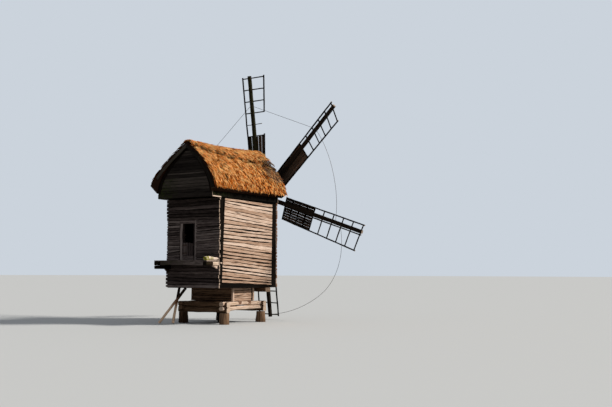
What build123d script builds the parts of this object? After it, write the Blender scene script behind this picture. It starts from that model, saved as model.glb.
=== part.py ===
from build123d import *
import math
import os

os.makedirs("parts", exist_ok=True)

# Driving dimensions, in mm. The post's axis stands on the origin, the door looks along -Y.
BODY_W = 3520
BODY_L = 4730
SILL_Z = 1800
WALL_H = 4500
JETTY = 680
BOARD = 40
POST = 240
POST_SHOW = 255
SILL_W = 220
SILL_H = 240
STUD = 140
STUD_H = 145
STUD_PLACES = (-0.11, 0.262)
LOW_EDGE = 20
SIDE_LOW_REAR, SIDE_LOW_FRONT = 220, 90

# Wall plates and roof. The profiles run from the ridge to the eave, above the wall's top; the inner
# one ends on the plate's outer face. RIDGE_X sets the ridge off the middle.
PLATE_H = 280
PLATE_W = 240
PLATE_OUT = 40
JETTY_BEAM = 200
ROOF_OUT = [(0, 2870), (500, 2510), (1000, 2090), (1400, 1680), (1780, 1195), (2000, 800), (2120, 420)]
ROOF_IN = [(0, 2620), (360, 2360), (820, 1940), (1200, 1540), (1500, 1120), (1690, 720), (1800, 280)]
RIDGE_X = 200
CAP = 100
CAP_POINTS = 4
VERGE_REAR = 125
VERGE_FRONT = 375
RAFTER_D = 90
RAFTER_W = 100
RAFTERS = 5
BARGE_D = 150
BARGE_T = 30

# Doorway in the rear wall, above the sill's underside.
DOOR_X0, DOOR_X1 = -670, 20
DOOR_Z0, DOOR_Z1 = 1380, 3250
LEAF_Z0, LEAF_H = 1640, 640
JAMB_L, JAMB_R = 250, 180
JAMB_D = 160
JAMB_OUT = 20
LINTEL_H = 150
THRESHOLD_H = 200
RISER_H = 250
BATTEN_GAP, BATTEN_W = 40, 150
LEAF_GAP = 6
HINGE_X = 10
HINGE_R = 12
STRAP_L, STRAP_W, STRAP_T = 260, 50, 6
KNUCKLE_H = 60
HINGE_IN = 120

# Floor and gallery.
FLOOR_T = 50
BEAM_EDGE = 40
BEAM_W = 220
BEAM_H = 200
GALLERY = 970
DECK_EDGE = 30
FRONT_BOARD_T = 35
FRONT_BOARD_H = 290
FRONT_BOARD_RISE = 30
LOW_LOG_W, LOW_LOG_H = 300, 170
BRACKET, LOW_BRACKET = 420, 250
BRACKET_T = 100

# Log crib, post and the parts that turn on it.
CRIB_X, CRIB_Y = 1360, 1500
LOG_W = 250
LOG_END = 260
LOG_EDGE = 35
STUMP_TOP = 560
END_LOG_H = 280
SIDE_LIFT = 120
TIE_H = 140
STUMP_R = 250
POST_R = 260
PIN_R = 90
PIN_GAP = 6
CROWN_H = 280
CROWN_W = 480
BOX_X, BOX_Y = 1400, 880
BOX_POST = 120
TURN_GAP = 15
SEAT = 0.3
BEARER_Y, BEARER_W, BEARER_H = 1540, 420, 220
FLOOR_BEARER_Y, FLOOR_BEARER_H = 750, 200

# Sails: three through stocks on one windshaft. Each sail has its leading edge's distance from the stock,
# its trailing edge's distance at SAIL_IN and at the tip, the slant of its rungs and the reach of its
# boards. The trailing bar of the first is broken, and the third has a thin bar beside its stock.
HUB_Y, HUB_Z = 3150, 6810
TILT = 5.5
STOCK_ANGLES = (-2.6, 47, 108.7)
STOCK_OFFSETS = (0, 420, 210)
SAIL_R = 6700
SAIL_IN = 1600
TIP_OVER = 80
SAIL_EDGES = ((560, 440, 920), (310, 560, 680), (350, 860, 1110),
              (480, 620, 820), (400, 600, 850), (400, 600, 850))
SLANTS = (60, 450, 220, 100, 100, 100)
BOARD_STARTS = (1600, 1350, 1550, 1600, 1600, 1600)
BOARD_ENDS = (3370, 3690, 3510, 3370, 3370, 3370)
BREAK_FROM, BREAK_TO, STUB = 3430, 4620, 500
THIN_BAR, THIN_BAR_X = 55, 200
RUNGS = 6
STOCK_W, STOCK_TIP, STOCK_T = 230, 160, 155
BAR = 65
PANEL_T = 25
SHAFT_R = 250
HEAD_R = 330
HEAD_BACK, HEAD_FRONT = 300, 700
SHAFT_TAIL = 3750
SHAFT_HOLE = 30
CABLE = 9
CABLE_R = 5050
CABLE_DIP = 200
SLACK_FROM, SLACK_TO = 5350, 6560
SLACK_REACH = 0.55

# Tail poles: tops under the rear sill and feet just above the ground, in from the left wall.
POLE_R = 70
POLE_TOPS_IN = (1180, 740)
POLE_FEET_IN = (390, 910)
POLE_FEET_OUT = (935, 485)
POLE_LIFT = 10

WOOD = (0.45, 0.36, 0.28)
DARK = (0.25, 0.19, 0.15)
STRAW = (0.72, 0.50, 0.25)
STEEL = (0.35, 0.35, 0.36)

half_w = BODY_W / 2
half_l = BODY_L / 2
frame_x = half_w - BOARD
frame_y = half_l - BOARD
wall_top = SILL_Z + WALL_H
floor_top = SILL_Z + DOOR_Z0
beam_top = floor_top - FLOOR_T
beam_x0 = half_w - BEAM_EDGE - BEAM_W
beam_x1 = half_w - BEAM_EDGE
beam_mid = (beam_x0 + beam_x1) / 2
stud_y = [BODY_L * k for k in STUD_PLACES]
plate_x = half_w + PLATE_OUT
plate_in = plate_x - PLATE_W
jetty_y = -half_l - JETTY
spread = plate_x / ROOF_IN[-1][0]


def save(solids, name, color):
    """Write one node, of one or more solids, as a STEP file."""
    node = Compound(children=list(solids)) if isinstance(solids, list) else solids
    node.label = name
    node.color = Color(*color)
    export_step(node, f"parts/{name}.step")


def block(x0, x1, y0, y1, z0, z1):
    """Box between two corners, given in any order."""
    size = (abs(x1 - x0), abs(y1 - y0), abs(z1 - z0))
    return Pos((x0 + x1) / 2, (y0 + y1) / 2, (z0 + z1) / 2) * Box(*size)


def prism(points, y0, y1):
    """Closed outline in X and Z, drawn out from y0 to y1."""
    solid = extrude(make_face(Plane.XZ * Polyline(*points, close=True)), y1 - y0)
    return Pos(0, y0 - solid.bounding_box().min.Y, 0) * solid


def rod(a, b, radius):
    """Round pole between two points."""
    a, b = Vector(*a), Vector(*b)
    return Plane(a, z_dir=b - a) * Pos(0, 0, (b - a).length / 2) * Cylinder(radius, (b - a).length)


def log(x0, x1, y0, y1, z0, z1, along):
    """Hewn log with its four long edges taken off."""
    body = block(x0, x1, y0, y1, z0, z1)
    return chamfer(body.edges().filter_by(along), LOG_EDGE)


def half_roof(profile, side, reach):
    """One side of a roof profile in place, from the ridge down to the eave."""
    return [(side * x * spread + RIDGE_X * (1 - x / reach), wall_top + h) for x, h in profile]


def whole_roof(profile, reach):
    """Both sides of a roof profile in place, from the left eave to the right one."""
    return list(reversed(half_roof(profile, -1, reach))) + half_roof(profile, 1, reach)[1:]


def crib():
    """Stumps, two courses of crossed logs and the ties that carry the post."""
    stumps = [Pos(sx * CRIB_X, sy * CRIB_Y, STUMP_TOP / 2) * Cylinder(STUMP_R, STUMP_TOP)
              for sx in (-1, 1) for sy in (-1, 1)]
    save(stumps, "stumps", DARK)
    half = LOG_W / 2
    side_h = END_LOG_H - SIDE_LIFT / 2
    side_z = [STUMP_TOP + SIDE_LIFT + side_h * i for i in range(3)]
    end_z = [STUMP_TOP + END_LOG_H * i for i in range(3)]
    lap = [(side_z[0] + end_z[1]) / 2, (end_z[1] + side_z[1]) / 2, (side_z[1] + end_z[2]) / 2]
    reach = CRIB_X + half
    ties = [block(-reach, reach, s * POST_R, s * (POST_R + LOG_W), end_z[2] - TIE_H, end_z[2]) for s in (-1, 1)]
    side_logs, end_logs = [], []
    for s in (-1, 1):
        for i in (0, 1):
            x, y = s * CRIB_X, CRIB_Y + LOG_END
            piece = log(x - half, x + half, -y, y, side_z[i], side_z[i + 1], Axis.Y)
            cuts = [(side_z[0], lap[0]), (lap[1], side_z[1])] if i == 0 else [(side_z[1], lap[2])]
            for t in (-CRIB_Y, CRIB_Y):
                for z0, z1 in cuts:
                    piece -= block(x - half, x + half, t - half, t + half, z0, z1)
            side_logs.append(piece if i == 0 else piece - ties[0] - ties[1])
            x, y = CRIB_X + LOG_END, s * CRIB_Y
            piece = log(-x, x, y - half, y + half, end_z[i], end_z[i + 1], Axis.X)
            cuts = [(lap[0], end_z[1])] if i == 0 else [(end_z[1], lap[1]), (lap[2], end_z[2])]
            for t in (-CRIB_X, CRIB_X):
                for z0, z1 in cuts:
                    piece -= block(t - half, t + half, y - half, y + half, z0, z1)
            end_logs.append(piece)
    save(side_logs, "crib_side_logs", DARK)
    save(end_logs, "crib_end_logs", DARK)
    save(ties, "post_ties", DARK)
    return end_z[2]


def turning_parts(crib_top):
    """Fixed post, and the boarded box and bearers that turn on it."""
    post_top = SILL_Z - CROWN_H
    pin = CROWN_H * 2 / 3
    post = Pos(0, 0, post_top / 2) * Cylinder(POST_R, post_top)
    post += Pos(0, 0, post_top + pin / 2) * Cylinder(PIN_R, pin)
    save(post, "centre_post", DARK)
    inner_x, inner_y = BOX_X - BOARD, BOX_Y - BOARD
    crown = block(-inner_x, inner_x, -CROWN_W / 2, CROWN_W / 2, post_top + SEAT, SILL_Z)
    crown -= Pos(0, 0, post_top + (pin + TURN_GAP) / 2) * Cylinder(PIN_R + PIN_GAP, pin + TURN_GAP)
    save(crown, "crown_beam", DARK)
    z0 = crib_top + TURN_GAP
    box = [block(s * inner_x, s * BOX_X, -BOX_Y, BOX_Y, z0, SILL_Z) for s in (-1, 1)]
    box += [block(-inner_x, inner_x, s * inner_y, s * BOX_Y, z0, SILL_Z) for s in (-1, 1)]
    save(box, "bearing_box", WOOD)
    post_x, post_y = inner_x - BOX_POST, inner_y - BOX_POST
    corners = [block(sx * post_x, sx * inner_x, sy * post_y, sy * inner_y, z0, SILL_Z)
               for sx in (-1, 1) for sy in (-1, 1)]
    save(corners, "box_posts", DARK)
    y0, y1 = BEARER_Y - BEARER_W / 2, BEARER_Y + BEARER_W / 2
    save(block(-plate_x, plate_x, y0, y1, SILL_Z - BEARER_H, SILL_Z), "front_bearer", DARK)
    save([floor_bearer(s) for s in (-1, 1)], "floor_bearers", DARK)


def floor_bearer(side):
    """Cross beam under the floor, lapped into the side sills."""
    y = side * FLOOR_BEARER_Y
    return block(-frame_x, frame_x, y - SILL_W / 2, y + SILL_W / 2, SILL_Z, SILL_Z + FLOOR_BEARER_H)


def timber_frame():
    """Sills, corner posts and studs."""
    sills = []
    for s in (-1, 1):
        sill = block(s * (frame_x - SILL_W), s * frame_x, -frame_y, frame_y, SILL_Z, SILL_Z + SILL_H)
        sills.append(sill - floor_bearer(-1) - floor_bearer(1))
        end_x = frame_x - SILL_W
        sills.append(block(-end_x, end_x, s * (frame_y - SILL_W), s * frame_y, SILL_Z, SILL_Z + SILL_H))
    save(sills, "sills", DARK)
    posts = []
    for sx in (-1, 1):
        for sy in (-1, 1):
            foot = (sx * (frame_x - POST), sx * frame_x, sy * (frame_y - POST), sy * frame_y)
            post = block(*foot, SILL_Z + SILL_H, wall_top)
            if sy < 0:
                post -= block(foot[0], sx * beam_mid, foot[2], foot[3], beam_top - BEAM_H, beam_top)
            posts.append(post)
    save(posts, "corner_posts", DARK)
    low, high, half = SILL_Z + SILL_H, wall_top - STUD_H, STUD / 2
    studs = [block(s * (frame_x - STUD), s * frame_x, y - half, y + half, low, high)
             for s in (-1, 1) for y in stud_y]
    save(studs, "studs", DARK)


def walls():
    """Side walls with their slanting lower edge, front wall and the rear wall split round its doorway."""
    y0, y1 = -half_l + POST_SHOW + BOARD, half_l - POST_SHOW - BOARD
    side = [(y0, SILL_Z + SIDE_LOW_REAR), (y1, SILL_Z + SIDE_LOW_FRONT), (y1, wall_top), (y0, wall_top)]
    for name, s in (("left", -1), ("right", 1)):
        wall = extrude(make_face(Plane.YZ * Polyline(*side, close=True)), BOARD)
        shift = (frame_x if s > 0 else -half_w) - wall.bounding_box().min.X
        save(Pos(shift, 0, 0) * wall, f"wall_{name}", WOOD)
    save(block(-half_w, half_w, frame_y, half_l, SILL_Z + LOW_EDGE, wall_top), "wall_front", WOOD)
    x0, x1 = DOOR_X0 - JAMB_L, DOOR_X1 + JAMB_R
    low, high = floor_top - THRESHOLD_H, SILL_Z + DOOR_Z1 + LINTEL_H
    for name, a, s in (("left", x0, -1), ("right", x1, 1)):
        wall = block(a, s * half_w, -half_l, -frame_y, SILL_Z + LOW_EDGE, wall_top)
        wall -= block(s * beam_x0, s * beam_x1, -half_l, -frame_y, beam_top - BEAM_H, beam_top)
        save(wall, f"wall_rear_{name}", WOOD)
    save(block(x0, x1, -half_l, -frame_y, high, wall_top), "wall_rear_top", WOOD)
    save(block(x0, x1, -half_l, -frame_y, SILL_Z + LOW_EDGE, low), "wall_rear_low", WOOD)
    doorway(x0, x1, low, high)


def doorway(x0, x1, low, high):
    """Jambs, lintel, threshold and the hinged lower leaf."""
    y0 = -half_l - JAMB_OUT
    y1 = y0 + JAMB_D
    head = SILL_Z + DOOR_Z1
    batten_x = x1 + BATTEN_GAP
    jambs = [block(x0, DOOR_X0, y0, y1, floor_top, head), block(DOOR_X1, x1, y0, y1, floor_top, head),
             block(batten_x, batten_x + BATTEN_W, -half_l - JAMB_OUT, -half_l, floor_top, high)]
    save(jambs, "door_jambs", DARK)
    save(block(x0, x1, y0, y1, head, high), "door_lintel", DARK)
    threshold = block(x0, x1, y0, -frame_y, low, floor_top)
    threshold += block(DOOR_X0, DOOR_X1, -half_l, -frame_y, floor_top, floor_top + RISER_H)
    save(threshold, "door_threshold", DARK)
    face = y0 - SEAT
    z0, z1 = SILL_Z + LEAF_Z0, SILL_Z + LEAF_Z0 + LEAF_H
    leaf = block(DOOR_X0 + LEAF_GAP, DOOR_X1 - LEAF_GAP, face, face + BOARD, z0, z1)
    for z in (z0 + HINGE_IN, z1 - HINGE_IN):
        leaf += Pos(DOOR_X0 - HINGE_X, face - HINGE_R, z) * Cylinder(HINGE_R, KNUCKLE_H)
        strap = (DOOR_X0 - HINGE_X, DOOR_X0 + STRAP_L, face - STRAP_T, face)
        leaf += block(*strap, z - STRAP_W / 2, z + STRAP_W / 2)
    save(leaf, "door_leaf", WOOD)


def gallery():
    """Floor, its beams that run out to the rear and the gallery on them."""
    floor = block(-frame_x, frame_x, -frame_y, frame_y, beam_top, floor_top)
    beams = []
    for s in (-1, 1):
        beam = block(s * beam_x0, s * beam_x1, -half_l - GALLERY, frame_y - POST, beam_top - BEAM_H, beam_top)
        beam -= block(s * beam_mid, s * beam_x1, -frame_y, -frame_y + POST, beam_top - BEAM_H, beam_top)
        for sy in (-1, 1):
            corner = (s * (frame_x - POST), s * frame_x, sy * (frame_y - POST), sy * frame_y)
            floor -= block(*corner, beam_top, floor_top)
        for y in stud_y:
            notch = (s * (frame_x - STUD), s * frame_x, y - STUD / 2, y + STUD / 2)
            beam -= block(*notch, beam_top - BEAM_H, beam_top)
            floor -= block(*notch, beam_top, floor_top)
        beams.append(beam)
    save(beams, "gallery_beams", DARK)
    save(floor, "floor", WOOD)
    end = -half_l - GALLERY
    near = -half_l - JAMB_OUT
    deck_x = half_w - DECK_EDGE
    save(block(-deck_x, deck_x, end, near, beam_top, floor_top), "gallery_deck", WOOD)
    board_top = floor_top + FRONT_BOARD_RISE
    low_log_x = LOW_LOG_W - beam_x1
    front = block(low_log_x, beam_x0, end - FRONT_BOARD_T, end, board_top - FRONT_BOARD_H, board_top)
    save(front, "gallery_front_board", WOOD)
    low = beam_top - BEAM_H
    logs = [log(beam_x0, beam_x1, end, near, floor_top, floor_top + BEAM_H, Axis.Y),
            log(-beam_x1, low_log_x, end, -half_l, low - LOW_LOG_H, low, Axis.Y)]
    save(logs, "gallery_side_log", WOOD)
    save([bracket(-1, low - LOW_LOG_H, LOW_BRACKET), bracket(1, low, BRACKET)], "gallery_brackets", DARK)


def bracket(side, top, size):
    """Three-cornered bracket on the rear wall under a gallery beam."""
    points = [(-half_l, top), (-half_l - size, top), (-half_l, top - size)]
    wedge = extrude(make_face(Plane.YZ * Polyline(*points, close=True)), BRACKET_T)
    return Pos(side * beam_mid - BRACKET_T / 2 - wedge.bounding_box().min.X, 0, 0) * wedge


def shaft_bore():
    """Space of the windshaft with its running clearance."""
    bore = Cylinder(SHAFT_R + SEAT, SHAFT_TAIL + 2 * SHAFT_R)
    return Pos(0, HUB_Y, HUB_Z) * Rot(TILT, 0, 0) * Pos(0, -SHAFT_TAIL / 2, 0) * Rot(90, 0, 0) * bore


def cross_beams():
    """Beam under the jetty, neck beam and tail beam of the windshaft, and the beam between them."""
    tail_z = HUB_Z - (HUB_Y - stud_y[0]) * math.tan(math.radians(TILT)) - SHAFT_R
    y0 = jetty_y + BOARD
    beams = [block(-plate_in, plate_in, y0, y0 + JETTY_BEAM, wall_top, wall_top + JETTY_BEAM),
             block(-plate_in, plate_in, frame_y - POST, frame_y, wall_top, wall_top + PLATE_H) - shaft_bore()]
    for i, y in enumerate(stud_y):
        beam = block(-frame_x, frame_x, y - STUD / 2, y + STUD / 2, wall_top - STUD_H, wall_top)
        if i == 0:
            top = max(wall_top, tail_z) + BAR
            beam += block(-plate_in, plate_in, y - STUD / 2, y + STUD / 2, wall_top, top)
            beam -= shaft_bore()
        beams.append(beam)
    save(beams, "cross_beams", DARK)


def roof():
    """Plates, rafters, gables, thatch and the ridge cap."""
    ends = (jetty_y + BOARD, half_l, wall_top, wall_top + PLATE_H)
    save([block(s * plate_in, s * plate_x, *ends) for s in (-1, 1)], "wall_plates", DARK)
    eave, foot = ROOF_OUT[-1][0], ROOF_IN[-1][0]
    rear, front = jetty_y - VERGE_REAR, half_l + VERGE_FRONT
    for name, s in (("left", -1), ("right", 1)):
        half = half_roof(ROOF_OUT, s, eave) + list(reversed(half_roof(ROOF_IN, s, foot)))
        save(prism(half, rear, front), f"thatch_{name}", STRAW)
    cap = whole_roof(ROOF_OUT[:CAP_POINTS], eave)
    lift = [(x, z + CAP) for x, z in cap]
    save(prism(cap + list(reversed(lift)), rear, front), "ridge_cap", STRAW)
    gable = [(-plate_x, wall_top)] + whole_roof(ROOF_IN, foot) + [(plate_x, wall_top)]
    save(prism(gable, jetty_y, jetty_y + BOARD), "gable_rear", WOOD)
    hole_z = HUB_Z - (HUB_Y - half_l) * math.tan(math.radians(TILT))
    hole = Pos(0, half_l, hole_z) * Rot(90, 0, 0) * Cylinder(SHAFT_R + SHAFT_HOLE, 10 * BOARD)
    save(prism(gable, half_l, half_l + BOARD) - hole, "gable_front", WOOD)
    loop = whole_roof(ROOF_IN, foot) + list(reversed(whole_roof(inset(ROOF_IN, RAFTER_D), foot)))
    first, last = jetty_y + BOARD + JETTY_BEAM, half_l - BOARD - POST
    places = [first + (last - first) / (RAFTERS - 1) * i for i in range(RAFTERS)]
    save([prism(loop, y, y + RAFTER_W) for y in places], "rafters", DARK)
    barges = []
    for s in (-1, 1):
        board = half_roof(ROOF_IN, s, foot) + list(reversed(half_roof(inset(ROOF_IN, BARGE_D), s, foot)))
        barges.append(prism(board, jetty_y - BARGE_T, jetty_y))
    save(barges, "bargeboards", DARK)


def inset(profile, depth):
    """Half profile moved inwards, with its ends kept on the middle line and on the plate's top."""
    out = []
    for i, (x, z) in enumerate(profile):
        a, b = profile[max(0, i - 1)], profile[min(len(profile) - 1, i + 1)]
        dx, dz = b[0] - a[0], b[1] - a[1]
        size = math.hypot(dx, dz)
        out.append((x + depth * dz / size, z - depth * dx / size))
    first, last = profile[0], profile[-1]
    slope = (profile[1][1] - first[1]) / (profile[1][0] - first[0])
    out[0] = (0, first[1] - depth * math.hypot(1, slope))
    out[-1] = (last[0] - depth, last[1])
    return out


def trail_at(sail, r):
    """Distance of a sail's wide edge from its stock at a radius."""
    _, inner, outer = SAIL_EDGES[sail]
    return inner + (outer - inner) * (r - SAIL_IN) / (SAIL_R - SAIL_IN)


def sail_net(sail):
    """Edge bars and rungs of one sail, fused where they cross, with its panel of boards."""
    half = BAR / 2
    lead = SAIL_EDGES[sail][0]
    slant = SLANTS[sail]
    start, board_end = BOARD_STARTS[sail], BOARD_ENDS[sail]
    net = block(-lead - half, -lead + half, -half, half, start, SAIL_R)
    end = SAIL_R - slant
    pieces = [(start, BREAK_FROM), (BREAK_TO, end)] if sail == 0 else [(start, end)]
    for r0, r1 in pieces:
        a, b = trail_at(sail, r0), trail_at(sail, r1)
        net += prism([(a - half, r0), (a + half, r0), (b + half, r1), (b - half, r1)], -half, half)
    step = (SAIL_R - TIP_OVER - board_end) / (RUNGS - 1)
    for i in range(RUNGS):
        r = board_end + step * i
        drop = slant * (r - SAIL_IN) / (SAIL_R - SAIL_IN)
        x = STUB if sail == 0 and i == 1 else trail_at(sail, r)
        low = r - drop * (x + lead) / (trail_at(sail, r) + lead)
        net += prism([(-lead, r - half), (x, low - half), (x, low + half), (-lead, r + half)], -half, half)
    inner = trail_at(sail, start)
    net += block(-lead, inner, -half, half, start, start + BAR)
    if sail == 2:
        bar_x0 = THIN_BAR_X - THIN_BAR / 2
        net += block(bar_x0, bar_x0 + THIN_BAR, -half, half, board_end, SAIL_R - TIP_OVER)
    edge = trail_at(sail, board_end) + half
    high = board_end - slant * (board_end - SAIL_IN) / (SAIL_R - SAIL_IN)
    panel = [(-lead - half, start), (inner + half, start), (edge, high), (-lead - half, board_end)]
    return net + prism(panel, half, half + PANEL_T)


def stock_shape():
    """Through stock, widest at the shaft."""
    a, b = STOCK_W / 2, STOCK_TIP / 2
    points = [(-b, -SAIL_R), (b, -SAIL_R), (a, 0), (b, SAIL_R), (-b, SAIL_R), (-a, 0)]
    return prism(points, -STOCK_T / 2, STOCK_T / 2)


def rotor():
    """Windshaft, three through stocks, six sails and the wire that links them."""
    place = Pos(0, HUB_Y, HUB_Z) * Rot(TILT, 0, 0)
    stocks = [Pos(0, off, 0) * Rot(0, angle, 0) * stock_shape()
              for angle, off in zip(STOCK_ANGLES, STOCK_OFFSETS)]
    head = HEAD_BACK + HEAD_FRONT
    shaft = Pos(0, -SHAFT_TAIL / 2, 0) * Rot(90, 0, 0) * Cylinder(SHAFT_R, SHAFT_TAIL)
    shaft += Pos(0, HEAD_FRONT - head / 2, 0) * Rot(90, 0, 0) * Cylinder(HEAD_R, head)
    for name, stock in zip("abc", stocks):
        shaft -= stock
        save(place * stock, f"stock_{name}", DARK)
    save(place * shaft, "windshaft", DARK)
    for i in range(6):
        angle, off = STOCK_ANGLES[i % 3] + 180 * (i // 3), STOCK_OFFSETS[i % 3] + STOCK_T / 2 + BAR / 2
        save(place * Pos(0, off, 0) * Rot(0, angle, 0) * sail_net(i), f"sail_{i + 1}", DARK)
    runs = [place * (run - stocks[i % 3] - stocks[(i + 1) % 3]) for i, run in enumerate(cable_runs())]
    save(runs, "ring_cable", STEEL)


def cable_runs():
    """Wire from each stock to the next; the run past the third sail hangs slack."""
    runs = []
    for i in range(6):
        j = (i + 1) % 6
        a0 = STOCK_ANGLES[i % 3] + 180 * (i // 3)
        a1 = STOCK_ANGLES[j % 3] + 180 * (j // 3) + (360 if j == 0 else 0)
        y0, y1 = [STOCK_OFFSETS[k % 3] - STOCK_T / 2 - CABLE for k in (i, j)]
        steps = {1: 4, 2: 8}.get(i, 1)
        points = []
        for k in range(steps + 1):
            t = k / steps
            a = math.radians(a0 + (a1 - a0) * t)
            r = CABLE_R - CABLE_DIP * math.sin(math.pi * t)
            if i == 2:
                r = SLACK_FROM + (SLACK_TO - SLACK_FROM) * math.sin(math.pi / 2 * min(1, t / SLACK_REACH))
            points.append((r * math.sin(a), y0 + (y1 - y0) * t, r * math.cos(a)))
        if steps == 1:
            runs.append(rod(points[0], points[1], CABLE))
        else:
            path = Spline(*points)
            runs.append(sweep(Plane(path @ 0, z_dir=path % 0) * Circle(CABLE), path=path))
    return runs


def tail_poles():
    """Two crossed poles that hang from the rear sill down to the ground."""
    top_y = -frame_y + SILL_W / 2
    poles = []
    for top_in, foot_in, out in zip(POLE_TOPS_IN, POLE_FEET_IN, POLE_FEET_OUT):
        top = Vector(top_in - half_w, top_y, SILL_Z)
        foot = Vector(foot_in - half_w, -half_l - out, POLE_LIFT)
        grow = (top - foot) * 0.06
        pole = rod(tuple(top + grow), tuple(foot - grow), POLE_R)
        poles.append(pole & block(-BODY_W, BODY_W, -BODY_L, 0, POLE_LIFT, SILL_Z))
    save(poles, "tail_poles", WOOD)


crib_height = crib()
turning_parts(crib_height)
timber_frame()
walls()
gallery()
cross_beams()
roof()
rotor()
tail_poles()
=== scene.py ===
import math
import random

import bmesh
import bpy
import numpy as np
from mathutils import Matrix, Vector, noise


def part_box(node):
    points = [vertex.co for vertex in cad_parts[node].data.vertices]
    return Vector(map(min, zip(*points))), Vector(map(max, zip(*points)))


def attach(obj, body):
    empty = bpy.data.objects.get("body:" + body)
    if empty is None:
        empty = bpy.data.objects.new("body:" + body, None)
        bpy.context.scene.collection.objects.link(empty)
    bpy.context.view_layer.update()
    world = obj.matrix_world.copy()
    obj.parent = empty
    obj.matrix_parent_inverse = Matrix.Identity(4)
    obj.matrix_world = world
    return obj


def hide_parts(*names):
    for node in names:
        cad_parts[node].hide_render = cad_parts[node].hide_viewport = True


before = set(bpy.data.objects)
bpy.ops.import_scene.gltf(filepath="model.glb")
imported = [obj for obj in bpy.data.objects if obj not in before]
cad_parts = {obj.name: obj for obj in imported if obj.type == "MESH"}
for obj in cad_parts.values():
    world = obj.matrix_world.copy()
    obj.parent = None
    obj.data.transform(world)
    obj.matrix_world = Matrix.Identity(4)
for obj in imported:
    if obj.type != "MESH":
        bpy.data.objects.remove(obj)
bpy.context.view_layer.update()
# Unseeded, the noise that roughens the pieces is another one in each run.
noise.seed_set(4)

# Sizes in metres, in the mill's own frame: the door looks along -Y and the sails turn at the +Y end.
WALL_T = 0.04
LINING_T = 0.006
REAR_BOARD_T, PROUD_BOARD_T = 0.03, 0.075
BOARD_LOOSE = 0.01
POST = 0.24
PLATE_W = 0.24
DOORWAY_X = (-0.67, 0.02)
LEAF_X = (-0.664, 0.014)
LEAF_FACE = -2.3853
HINGE_X, STRAP_END_X = -0.68, -0.41
GALLERY_BEAM_W = 0.22
CRIB_LOG_W = 0.25
STUMP_R = 0.25
POLE_TOPS, POLE_TOP_Z = ((-0.58, -2.215), (-1.02, -2.215)), 1.8
POLE_FEET, POLE_FOOT_Z = ((-1.37, -3.30), (-0.85, -2.85)), 0.055
EAVE_Z = 6.3
ROOF_OUT = [(0, 2.87), (0.5, 2.51), (1.0, 2.09), (1.4, 1.68), (1.78, 1.195), (2.0, 0.8), (2.12, 0.42)]
ROOF_IN = [(0, 2.62), (0.36, 2.36), (0.82, 1.94), (1.2, 1.54), (1.5, 1.12), (1.69, 0.72), (1.8, 0.28)]
RIDGE_X = 0.2
RIDGE_SAG = 0.09
CAP_EDGE = (0.46, 1.42)
CAP_RISE = 0.085
LEFT_SHORT = 0.09
HUB = (0, 3.15, 6.81)
TILT = math.radians(5.5)
STOCK_ANGLES = (-2.6, 47, 108.7)
STOCK_OFFSETS = (0, 0.42, 0.21)
STOCK_W, STOCK_TIP, STOCK_T = 0.23, 0.16, 0.155
SAIL_R, SAIL_IN, TIP_OVER = 6.7, 1.6, 0.08
SAIL_EDGES = ((0.56, 0.44, 0.92), (0.31, 0.56, 0.68), (0.35, 0.86, 1.11),
              (0.48, 0.62, 0.82), (0.40, 0.60, 0.85), (0.40, 0.60, 0.85))
SLANTS = (0.06, 0.45, 0.22, 0.10, 0.10, 0.10)
BOARD_STARTS = (1.60, 1.35, 1.55, 1.60, 1.60, 1.60)
BOARD_ENDS = (3.37, 3.69, 3.51, 3.37, 3.37, 3.37)
SLATS = ((5, 0.87, 0.2), (4, 0.98, 0.3), (9, 0.91, 0.0), (6, 0.94, 0.1), (6, 0.9, 0.1), (6, 0.9, 0.1))
BREAK_FROM, BREAK_TO, STUB = 3.43, 4.62, 0.5
THIN_BAR, THIN_BAR_X = 0.055, 0.2
RUNGS = 6
BAR = 0.065
PANEL_T = 0.025
STALKS = 11
COURSE, SPACING = 0.11, 0.062
EYE, LENS = (30.18, -36.59, 2.72), 52.96
AZIMUTH, YAW, PITCH, ROLL = [math.radians(a) for a in (39.51, -5.24, 4.23, 0.18)]

LIT_BOARD = ("#5A3422", "#BD9B82", "#FCE4D1")
# SHADED_BOARD and GABLE_BOARD are board colours darkened as painted shade.
SHADED_BOARD = ("#231B1A", "#5C504D", "#938681")
GABLE_BOARD = ("#161210", "#302A26", "#544C46")
OLD_TIMBER = ("#0B0704", "#1D130C", "#412D1E")
CRIB_WOOD = ("#2A1A10", "#624936", "#95765D")
SAIL_WOOD = ("#130F0C", "#2F2620", "#6A594C")
POLE_WOOD = ("#2A1D14", "#9E7256", "#F4D2B2")
PALE_END = "#D9BFA8"
BROWN_END = "#8A5A38"
DARK_MOSS = "#32381A"
YELLOW_MOSS = "#8F8B2C"
STRAW = ("#4E1C02", "#B04E02", "#F58E22", "#FFD088")
WORN_STRAW = "#6E5F54"
# Near-black straw, for wet straw and for painted shade.
DAMP_AND_SHADED_STRAW = "#1C0F07"


def linear(code):
    """Linear colour of an sRGB hex code."""
    parts = [int(code[i:i + 2], 16) / 255 for i in (1, 3, 5)]
    return [c / 12.92 if c <= 0.04045 else ((c + 0.055) / 1.055) ** 2.4 for c in parts] + [1]


def node(tree, kind, inputs=None, stops=(), **settings):
    """Adds a shader node with its settings, its ramp's stops and the values or links of its inputs."""
    made = tree.nodes.new(kind)
    for key, value in settings.items():
        setattr(made, key, value)
    for i, (place, colour) in enumerate(stops):
        element = made.color_ramp.elements[i] if i < 2 else made.color_ramp.elements.new(place)
        element.position = place
        element.color = colour
    for key, value in (inputs or {}).items():
        if isinstance(value, bpy.types.NodeSocket):
            tree.links.new(value, made.inputs[key])
        else:
            made.inputs[key].default_value = value
    return made


def surface(name):
    """Empty material with its tree and its Principled shader."""
    material = bpy.data.materials.new(name)
    material.use_nodes = True
    tree = material.node_tree
    tree.nodes.clear()
    shader = node(tree, "ShaderNodeBsdfPrincipled")
    node(tree, "ShaderNodeOutputMaterial", {"Surface": shader.outputs["BSDF"]})
    return material, tree, shader


BLACK, WHITE = (0, 0, 0, 1), (1, 1, 1, 1)


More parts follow.
